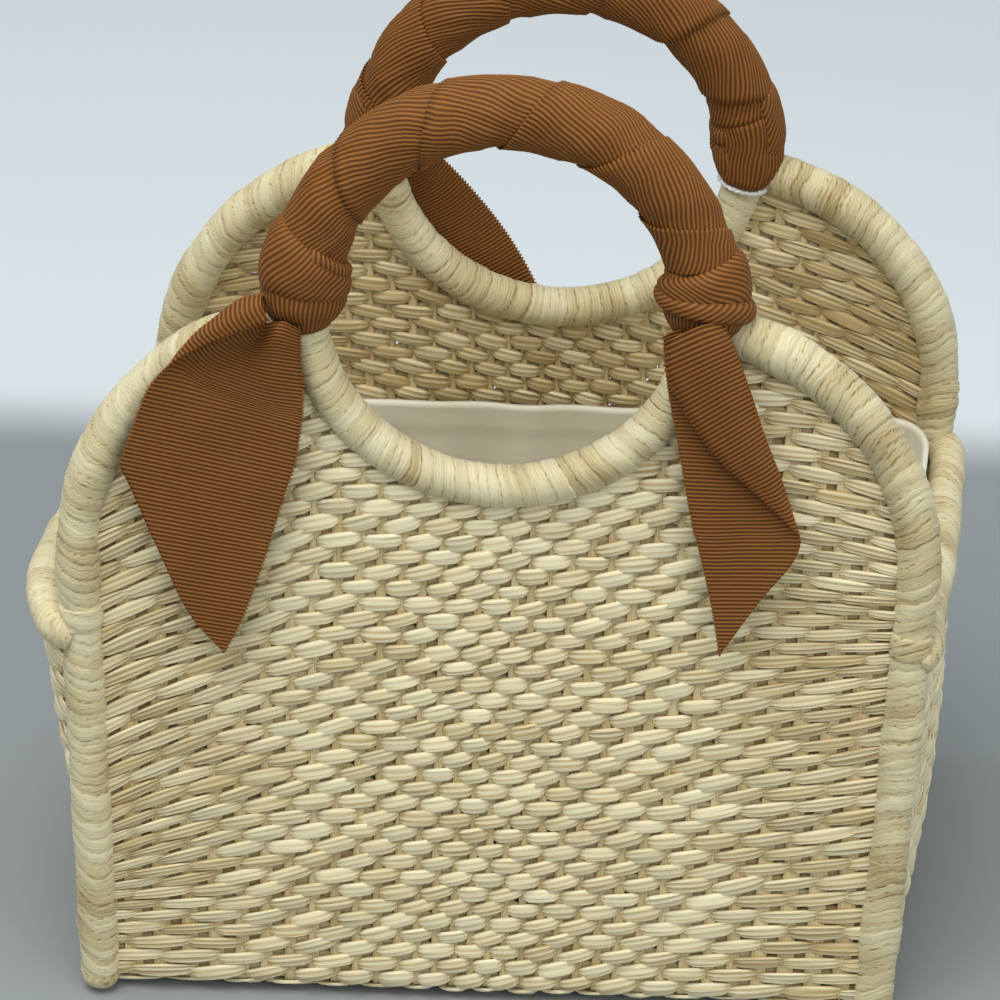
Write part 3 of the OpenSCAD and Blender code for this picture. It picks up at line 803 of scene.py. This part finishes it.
# each band of a knot: its upper and lower edge, as distances down the tube from the knot's middle, at angles
# round the tube from its outer side over the front, how far it lies out, its roundness, and its ribs' slant
knotBands = dict(
    right=[dict(at=(-60, 0, 90, 180, 240), up=(-1, 0, -1.5, -2, -1), low=(9, 8.5, 8.5, 10.5, 9),
                out=.35, round=.5, slant=90),
           dict(at=(-60, 0, 90, 180, 238), up=(-8, -9.6, -8.6, -6.4, -4), low=(3, 3.2, 0, -.2, 2),
                out=.95, round=.9, slant=38),
           dict(at=(-58, 0, 90, 180, 222), up=(2.4, 1.6, -2.2, -3.6, -3), low=(7.6, 6.4, 3.4, 1.4, .4),
                out=1.7, round=1.2, slant=148)],
    left=[dict(at=(-60, 0, 90, 180, 240), up=(-2, -1, -1, 0, -1), low=(9, 8.5, 8, 10, 9),
               out=.5, round=.5, slant=90),
          dict(at=(80, 100, 140, 180, 240), up=(-12, -12, -9, -7, -6), low=(-8, -8.5, -5, -1.5, -1),
               out=.75, round=.9, slant=96),
          dict(at=(-60, 0, 90, 140, 215), up=(-12, -14.4, -11.6, -6, -2), low=(4, 2.4, 1.6, 2.6, 4),
               out=1.15, round=.9, slant=56)])
# under the bands lies the end of the winding; the back's knots are pulled tighter
knot = dict(core=dict(at=(-75, 40, 180, 300), up=(-12,) * 4, low=(11.5,) * 4, out=0, round=0, slant=84),
            flat=(.038, .0775), bulk=dict(front=1, back=.45), size=9, middle=5,
            seeds=dict(frontright=60, frontleft=70, backright=80, backleft=90))


def tubeSize(down, inner, bulk):
    # how far the ribbon stands out round a ring's foot: full on the handle, swelling at the knot and drawn in below,
    # and plain on its inner side
    swell = .75 * bulk * smooth((down + 14) / 10) * (1 - inner)
    return 8.35 + swell - 1.9 * smooth((down - 4) / 7) * (1 - .7 * inner)


def ribbonKnot(side, end):
    # the end of the winding, and the bands drawn round it; each lies on a grid of turn and distance down the tube
    seed, bulk, size = knot["seeds"][side + end], knot["bulk"][side], knot["size"]
    parts = []
    for order, band in enumerate([knot["core"]] + knotBands[end]):
        # steps are finer across the ribs than along them
        slant = math.radians(band["slant"])
        sin, cos = math.sin(slant), math.cos(slant)
        turn = np.radians(np.arange(band["at"][0], band["at"][-1], 1.8 / max(sin, .6)))[:, None]
        up, low = (smoothRows(np.interp(np.degrees(turn), band["at"], band[k]), 14) for k in ("up", "low"))
        share = np.linspace(0, 1, int((low - up).max() / .36 * max(abs(cos), .4)) + 2)
        down = up + (low - up) * share
        spot = np.stack([down, size * np.cos(turn) + 0 * down, size * np.sin(turn) + 0 * down], -1)
        middle = np.abs(2 * share - 1)
        inner = smooth(np.cos(turn + math.pi / 2) * 1.4)
        radius = tubeSize(down, inner, bulk) + .14 * ripple(spot, 9, seed + order)
        if order:
            # a band dives into the winding at its ends, and rounds over at its edges
            edge = np.minimum(1, np.minimum(turn - turn[0], turn[-1] - turn) / .5)
            high = bulk * (band["out"] + band["round"] * (1 - middle ** 3)) + .25 * (1 - bulk)
            radius = radius + high * smooth(edge) - 1.3 * (1 - smooth(edge / .4))
            radius = radius - .9 * bulk * band["round"] * middle ** 6
        else:
            # the winding laps over itself, and draws in to the straw at its end
            radius = radius + .5 * smooth((turn - math.radians(250)) / .5)
            radius = radius - 1.3 * smooth((down - 9.5) / 2) - 1.5 * (1 - smooth((down + 9.6) / 2))
        along = size * turn * sin + down * cos + .5 * ripple(spot, 13, seed + 5 + order)
        across = down * sin - size * turn * cos
        middle = onRing(math.radians(knot["middle"]) - down / panel["ringRadius"], turn + 0 * down, radius)
        middle[..., 0] *= 1 if end == "right" else -1
        parts.append(closedSheet(middle, across, along, order + seed))
    return joinParts(parts)


def flatRow(first, last, lift):
    # seven points in equal steps between two (across, up) ends, 8 mm out, with the far edge lifted as a cube
    t = np.linspace(0, 1, 7)
    return [(first[0] * (1 - k) + last[0] * k, 8 + lift * k ** 3, first[1] * (1 - k) + last[1] * k) for k in t]


# nets of points down each tail, as (across, outwards, up); the first column is the selvedge that reaches the tip
openTail = dict(cut=7, flat=(.038, .0995), area=.003, net=[
    [(-48, 9, 191), (-52, 11.5, 194), (-56.5, 7, 192), (-56, 7, 197),
     (-57, 9.5, 200), (-57, 13, 198.5), (-55, 13.5, 195)],
    [(-48, 9, 187.5), (-53.5, 11.5, 190), (-58.5, 7, 187.5), (-61, 7, 192.5),
     (-62, 10, 199), (-62, 14, 196.5), (-60, 14, 193)],
    [(-48, 8.5, 183), (-54.5, 10, 184.5), (-61, 7, 184), (-66, 7, 187.5),
     (-68, 10, 194), (-68, 13.5, 192.5), (-66, 14, 190.5)],
    [(-47.5, 8, 177), (-55.5, 9, 178.5), (-62.5, 7, 179.5), (-69.5, 7.5, 182.5),
     (-73, 9.5, 188.5), (-74, 12, 188.5), (-72.5, 13, 187)],
    [(-47.5, 8, 171), (-55.5, 8, 172), (-63, 7.5, 174), (-71, 8, 177),
     (-76, 8.5, 180.5), (-78.5, 10, 182), (-79, 11.5, 182)],
    flatRow((-48, 165.5), (-84.5, 175), 1.8), flatRow((-49.5, 155.5), (-88.5, 164), .8),
    flatRow((-52.5, 145.5), (-92, 153.5), .2), flatRow((-57, 129.5), (-97.5, 136), 0),
    flatRow((-62.5, 113), (-103, 119), 0), flatRow((-67, 103.5), (-107, 108.5), 0)])
foldedTail = dict(cut=6, flat=(.038, .0928), area=.00292, net=[
    [(38, 8, 192), (40, 7.5, 193), (44.5, 7, 194), (48, 7.5, 195.5), (51, 10, 197), (46.5, 13, 197), (39, 13, 193)],
    [(38.5, 8, 187), (41, 7.5, 188), (46.5, 7.5, 189.5), (51, 8, 191.5),
     (54, 11, 192.5), (48, 14, 190.5), (39, 12.5, 185)],
    [(40, 8, 177), (43, 8, 177.5), (49, 7.5, 178), (55, 8, 179.5),
     (58.5, 11, 181.5), (53.5, 13.5, 179.5), (45, 12, 173)],
    [(42.5, 8, 165.5), (46, 8, 165.5), (52.5, 8, 165.5), (59, 8, 166.5),
     (63, 10.5, 169), (59.5, 13, 167), (53, 12, 162)],
    [(45, 8, 153), (49.5, 8, 153), (56, 8, 153), (63, 8.5, 154), (68, 10.5, 156.5), (66, 12, 155), (62.5, 11.5, 153)],
    [(47.5, 8, 141.5), (52.5, 8, 141.5), (59.5, 8, 142), (66.5, 8.5, 142.5),
     (71.5, 10, 144), (72.5, 11, 144), (71.5, 11, 144)],
    [(48.5, 8, 138.5), (53, 8, 138.5), (59.5, 8, 139), (66, 8.5, 139.5),
     (70, 9, 140), (72.5, 10, 140.5), (73.5, 10.5, 141)],
    flatRow((51.5, 127), (76, 128), 1.6), flatRow((53.5, 118), (78.5, 119), 1),
    flatRow((55.5, 107.5), (81, 107.5), .5)])
crossingTail = dict(cut=5, flat=(.038, .0948), area=.00312, net=[
    [(39, 11, 193), (41, 8, 195), (44, 7.2, 196), (47, 7.2, 196), (50, 8, 195), (52, 11, 193), (50, 13.5, 190)],
    [(34.5, 10.6, 188.5), (37, 8.4, 185.5), (41, 7.3, 183.5), (46, 7.2, 183.5),
     (51, 8, 184.5), (55, 10.5, 186), (55.5, 13.5, 186)],
    [(26, 9.4, 179.8), (31, 8, 175.5), (37.5, 7.2, 172), (44, 7.2, 170),
     (50, 7.8, 169.5), (55.5, 9.6, 170), (58.5, 12, 171.5)],
    [(16.5, 8.4, 168), (22, 7.6, 163.8), (29, 7.2, 160), (35.8, 7.2, 157),
     (42, 7.4, 154.8), (48, 8.2, 153.4), (52.5, 9.6, 153)],
    [(8.5, 8, 154.5), (14.3, 7.5, 151), (20.4, 7.2, 147.8), (26.6, 7.2, 144.8),
     (32.6, 7.2, 142.2), (38.6, 7.5, 140), (44, 8.2, 138.4)],
    [(2.5, 7.8, 140), (8.6, 7.4, 137.6), (14.8, 7.2, 135.2), (21, 7.2, 133),
     (27.2, 7.2, 131), (33.2, 7.4, 129.2), (39, 7.8, 127.6)],
    [(-1.6, 7.9, 126), (4.6, 7.5, 124), (10.9, 7.2, 122.2), (17.2, 7.2, 120.6),
     (23.4, 7.2, 119), (29.6, 7.4, 117.4), (35.6, 7.7, 116)],
    [(-4.4, 8.2, 112), (1.8, 7.8, 110.6), (8, 7.4, 109.4), (14.3, 7.2, 108.2),
     (20.5, 7.2, 107), (26.7, 7.3, 106), (32.8, 7.5, 105)]])
tails = dict(front_left=openTail, front_right=foldedTail, back_left=crossingTail, back_right=openTail)
tailBend = dict(across=48, out=8, top=194, low=178)
# the hidden tail is the open one with its curl drawn down below the rim
lowered = dict(above=178, share=.62, beyond=-46, over=8, out=7.6, keep=.6)


def ribbonTail(name):
    # the smooth surface through the net, in rows one rib's quarter apart, cut off slantwise to its tip
    tail = tails[name]
    net = np.array(tail["net"], float)
    last = len(net) - 1
    fine = np.linspace(0, last, 600)[:, None]
    steps = np.linalg.norm(np.diff(netSurface(net, fine, np.arange(7.)), axis=0), axis=-1).mean(-1)
    walked = np.concatenate([[0], np.cumsum(steps)])
    along = np.arange(0, walked[-1], ribbon["step"])[:, None]
    a = np.interp(along, walked, fine[:, 0])
    end = 1 - np.clip((a - tail["cut"]) / (last - tail["cut"]), 0, .985)
    b = end * np.linspace(0, 1, 27)
    zigzag = ribbon["picot"] / ribbon["width"] * np.cos(2 * np.pi * along / ribbon["rib"])
    b[:, :1] -= zigzag
    b[:, -1:] += np.where(end == 1, zigzag, 0)
    middle = netSurface(net, a, 6 * b)
    if name == "back_right":
        high = np.maximum(middle[..., 2] - lowered["above"], 0)
        middle[..., 2] -= lowered["share"] * high * smooth((lowered["beyond"] - middle[..., 0]) / lowered["over"])
        middle[..., 1] = lowered["out"] + (middle[..., 1] - lowered["out"]) * lowered["keep"]
    return closedSheet(middle, b * ribbon["width"], along, 30)


def bendAtKnot(name):
    # a tail's panel and its own body, and two places below the knot, in metres in the basket's frame
    side = name.split("_")[0]
    across = tailBend["across"] * (1 if name in ("front_right", "back_left") else -1)
    ends = onPanel(np.array([[across, tailBend["out"], tailBend[k]] for k in ("top", "low")], float), side) * .001
    return side + "_panel", name + "_tail", ends[0].tolist(), ends[1].tolist()


for side in ("front", "back"):
    piece = panelPiece(side, "RibbonWrap", ribbonWrap(side), "ribbon", ["ribbon_wrap"])
    for end, other in (("left", "right"), ("right", "left")):
        # the back panel is half turned, so its right-hand knot pattern stands at its left end
        shape = ribbonKnot(side, end if side == "front" else other)
        tied = panelPiece(side, end.title() + "Knot", shape, "ribbon", [end + "_knot"])
        name = f"{side}_{end}"
        piece = panelPiece(side, end.title() + "Tail", ribbonTail(name), "ribbon", [end + "_tail"], bendAtKnot(name))
print("ribbon wound, knotted and hung")

# rim is the middle line of each side's bound rim, and bow how far the foot of its wall bows
gusset = dict(
    left=dict(rim=[(-111.5, -57, 103), (-116.5, -54, 106), (-120, -46, 109), (-121, -35, 109.5), (-120, -20, 109.5),
                   (-117.6, -5, 109.3), (-113.6, 12, 109.3), (-108.6, 29, 109.3), (-103.6, 42, 109.3),
                   (-100.5, 50, 108.6), (-98, 56, 107)], bow=-7, seed=140),
    right=dict(rim=[(99, -58, 104), (100.5, -52, 107), (101.2, -44, 109), (103.4, -30, 109.3), (106.2, -15, 109.3),
                    (108.6, 3, 109.3), (110.6, 20, 109.3), (112.6, 35, 109.3), (113.4, 45, 109.2), (112.6, 52, 108.6),
                    (109.5, 58, 107)], bow=7, seed=150),
    foot=99.5, footZ=2.6, depth=57.5, wide=110, high=104, rimRadius=4.9, blendZ=.05, blendY=.054)
gussetWeave = dict(weave, lastRow=101, edge=54.5, pitch=5, spread=1e-4, rowPitch=4.3, loose=500, seed=77)
skew = 6.5 / 61  # the two panels stand this much out of line, for each millimetre of depth
signs = dict(left=-1, right=1)


def gussetPoint(side, u, h):
    # from the foot's line to the rim's middle line by height h, with u in millimetres from front to back
    g, sign = gusset[side], signs[side]
    rim = np.array(g["rim"], float)
    t = np.clip(u / gusset["wide"] + .5, 0, 1)
    walked = walkedLength(rim)
    step = np.interp(t * walked[-1], walked, np.arange(len(rim)))
    top = netSurface(np.repeat(rim[:, None], 4, 1), step, 0 * step + 1)
    y = gusset["depth"] * (2 * t - 1)
    arch = np.sin(np.pi * t)
    foot = np.stack([sign * gusset["foot"] + skew * y + g["bow"] * arch, y, 0 * y + gusset["footZ"]], -1)
    point = foot * (1 - h[..., None]) + top * h[..., None]
    # the wall rounds out of the base, and its ends keep to the panels
    belly = 3.2 * np.sin(np.pi * np.clip(h, 0, 1)) * arch
    point[..., 0] += sign * (belly - 3 * np.clip(1 - h * 14, 0, 1) ** 2)
    return point


def onGusset(side, p):
    # carries (u, outwards, height in millimetres) onto the gusset: along its wall, and out along its normal
    u, out, h = p[..., 0], p[..., 1], p[..., 2] / gusset["high"]
    ahead = gussetPoint(side, u + .5, h) - gussetPoint(side, u - .5, h)
    above = gussetPoint(side, u, h + .005) - gussetPoint(side, u, h - .005)
    return gussetPoint(side, u, h) + out[..., None] * unit(np.cross(ahead, above)) * signs[side]


def wavyRow(z, x, s):
    # rows that rise and sink a little, as a sine along them
    return z + .35 * np.sin(x / 9 + z / 30)


def gussetRows(side, half):
    # half is -1 for the front and 1 for the back
    s = gussetWeave
    edge = stakeNumber(s["edge"], s)
    rows = [(number, z, -edge, edge) for number, z in enumerate(np.arange(s["firstRow"], s["lastRow"], s["rowPitch"]))]
    points, *rest = weaveRows(rows, s, s["seed"], wavyRow, half)
    return onGusset(side, points), *rest


def gussetStakes(side, half):
    # ten or eleven straight stakes from the middle to one end of the wall
    x = gussetWeave["pitch"] * (np.arange(11) if half > 0 else np.arange(-1, -11, -1))
    points, *rest = stakeRow(x, np.arange(1, 103, 4.), 1.35, .6, 31.)
    return onGusset(side, points), *rest


def gussetRim(side, half):
    # half of a bound rim, drawn in at its end like an ellipse
    u = np.arange(-55, 55.01, rimBinding["step"])
    middle = gussetPoint(side, u, np.ones(len(u)))
    line = dict(centre=middle, side=np.cross(unit(np.gradient(middle, axis=0)), [0, 0, 1.]))
    radius = gusset["rimRadius"] * np.sqrt(np.clip(1 - ((np.abs(u) - 46).clip(0) / 11) ** 2, .1, 1))
    radius = radius * (1 + .03 * ripple(u[:, None], 30, 9))
    split = len(u) // 2
    first, last = (0, split + 1) if half < 0 else (split, None)
    return boundTube(line, radius, dict(rimBinding, seed=gusset[side]["seed"]), first, last)


def bendToPanel(half):
    # the base and the front or back panel, and two places, at the basket's middle and at the panel's foot
    z = gusset["blendZ"]
    return "basket_base", ("front" if half < 0 else "back") + "_panel", (0, 0, z), (0, half * gusset["blendY"], z)


halves = ((-1, "Front"), (1, "Back"))
for side in ("left", "right"):
    for half, word in halves:
        for part, shape, slot, nodes in (
                ("Weave", gussetRows(side, half), "weave_straw", ["weave"]),
                ("Stakes", gussetStakes(side, half), "stake_straw", ["stakes"]),
                ("Rim", gussetRim(side, half), "binding_straw", ["binding", "rod"])):
            makePiece(side + "Gusset" + word + part, shape, slot, [f"{side}_gusset_{node}" for node in nodes],
                      bendToPanel(half))
print("gussets woven and bound")

base = dict(depth=56.5, side=96, bow=6.2, level=2.7, seed=31)
baseWeave = dict(gussetWeave, depth=1, thick=.6, pitch=4.6, rowPitch=4.4)


def onBase(points, faces, grain, toneAndShade):
    # (across, outwards, along the depth) to the basket's frame: the base's outer side faces down
    x, out, y = points.T
    return np.stack([x + skew * y, y, base["level"] - out], -1), faces, grain, toneAndShade


def baseRows():
    # rows from side to side: out to the bowed gussets in the middle, and in to the panels' rims
    rows = []
    for number, y in enumerate(np.arange(-base["depth"], base["depth"], baseWeave["rowPitch"])):
        reach = base["side"] + base["bow"] * np.cos(np.pi * y / (2 * gusset["depth"])) ** .8
        edge = stakeNumber(reach, baseWeave)
        rows.append((number, y, -edge, edge))
    return weaveRows(rows, baseWeave, base["seed"], levelRow)


def baseStakes():
    # straight stakes from the front to the back
    return stakeRow(np.arange(-20, 21) * baseWeave["pitch"], base["depth"] * np.linspace(-1, 1, 24), 1.2, .5, 17.)


makePiece("baseWeave", onBase(*baseRows()), "weave_straw", ["base_weave"], "basket_base")
makePiece("baseStakes", onBase(*baseStakes()), "stake_straw", ["base_stakes"], "basket_base")
print("base woven")

lining = dict(top=119, floor=5.4, gap=4.6, pastRim=2.1, thick=.9, hem=.6, pucker=1.1, flat=(.31, .176), area=.0438,
              onGusset=50, onPanel=196, around=150, sideX=98.6, sideSlope=.0249, rise=106.7, corner=4)


def liningHalf(half):
    # a loop from the left gusset round one panel to the right gusset, carried up from the floor, and then the floor
    # to the middle; it keeps its gap from the gussets' wall and from the panel's rims
    s = lining
    top, end, near = s["top"], s["onGusset"], s["gap"]
    bend = s["floor"] + 9 * (1 - np.sin(np.linspace(.1, 1, 7) * np.pi / 2))
    z = np.concatenate([np.linspace(top, top - 9, 7), np.linspace(top - 12, 16, 34), bend])[:, None]
    side = panel["hingeY"] - (z - panel["hingeZ"]) * math.tan(math.radians(panel["lean"])) - near
    low = np.clip((16 - z) / 11, 0, 1)
    inset = near - .4 + 7 * low ** 2 + s["pastRim"] * smooth((z - 90) / 11)
    # position round the loop: up one gusset, along the panel and back down the other gusset
    walk = np.linspace(0, 1, s["around"])[None] * (2 * end + s["onPanel"])
    y = np.where(walk < end, walk, np.where(walk > end + s["onPanel"], 2 * end + s["onPanel"] - walk, end)) * side / end
    u = half * y * (gusset["wide"] / 2) / gusset["depth"]
    h = np.clip((z - gusset["footZ"]) / s["rise"], 0, 1.1)
    left, right = (gussetPoint(hand, u, h)[..., 0] for hand in ("left", "right"))
    limit = s["sideX"] + s["sideSlope"] * z - near - 1.5 + 14 * (1 - (y / side) ** 4)
    shift = skew * half * y
    share = np.clip((walk - end) / s["onPanel"], 0, 1)
    x = np.maximum(left + inset, shift - limit) * (1 - share) + np.minimum(right - inset, shift + limit) * share
    y = half * (y - 5 * low ** 2 * np.minimum(y / 20, 1))
    points = np.stack([x, y, z + 0 * x], -1)
    # the corners are rounded by averaging along the loop
    points[..., :2] = np.moveaxis(smoothRows(np.moveaxis(points[..., :2], 1, 0), s["corner"]), 0, 1)
    points[:, [0, -1], 1] = 0
    # the cloth puckers inwards, less at its hem and in the middle of the gussets
    fold = np.stack([walk / 9 + 0 * z, z / 60 + 0 * walk], -1)
    inward = unit(np.stack([-.2 * points[..., 0], -points[..., 1], 0 * points[..., 0]], -1))
    hem = .35 + .65 * smooth((top - z) / 25)
    calm = smooth((z - 8) / 30) * np.minimum(1, np.abs(points[..., 1]) / 8) * hem
    points += (s["pucker"] * (1 + ripple(fold, 3.2, 15)) * calm)[..., None] * inward
    bottom = points[-1]
    middle = np.stack([bottom[:, 0] * .97, 0 * bottom[:, 0], bottom[:, 2]], -1)
    floor = np.stack([bottom * (1 - k) + middle * k for k in np.linspace(0, 1, 16)[1:]])
    points = np.concatenate([points, floor])
    thick = s["thick"] + s["hem"] * smooth((points[..., 2] - top + 9) / 1.5)
    return closedSheet(points, 0, 0, 0, 0, thick)[:2]


for half, word in halves:
    piece = makePiece("lining" + word, liningHalf(half), "lining_cloth", ["lining"], bendToPanel(half))
print("lining sewn")

cord = dict(angle=-10, path=6.35, radius=.78, twist=3.2, steps=160, around=14)


def tieCord():
    # two twisted plies round the ring's foot: the profile is a two-lobed circle that turns as it goes
    t = np.linspace(0, 2 * np.pi, cord["steps"], endpoint=False)[:, None]
    v = np.linspace(0, 2 * np.pi, cord["around"], endpoint=False)[None]
    turns = 2 * round(cord["path"] / cord["twist"] * 2 * np.pi)
    size = cord["radius"] * (.84 + .16 * np.cos(2 * v - t * turns))
    phi = math.radians(cord["angle"]) + size * np.sin(v) / panel["ringRadius"]
    points = onRing(phi, t + 0 * v, cord["path"] + size * np.cos(v))
    points[..., 0] *= -1
    return points.reshape(-1, 3), [gridFaces(cord["steps"], cord["around"], wrapRows=True, wrapColumns=True)]


panelPiece("back", "TieCord", tieCord(), "white_cord", ["tie_cord"])
print("cord tied")

# what stays as it was built: rods and cores of peeled cane, and the straw roll under the ribbon
for name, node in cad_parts.items():
    node.data.materials.clear()
    node.data.materials.append(finishes["binding_straw"] if "roll" in name else peeledCane)
print("built parts finished")

low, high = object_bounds()
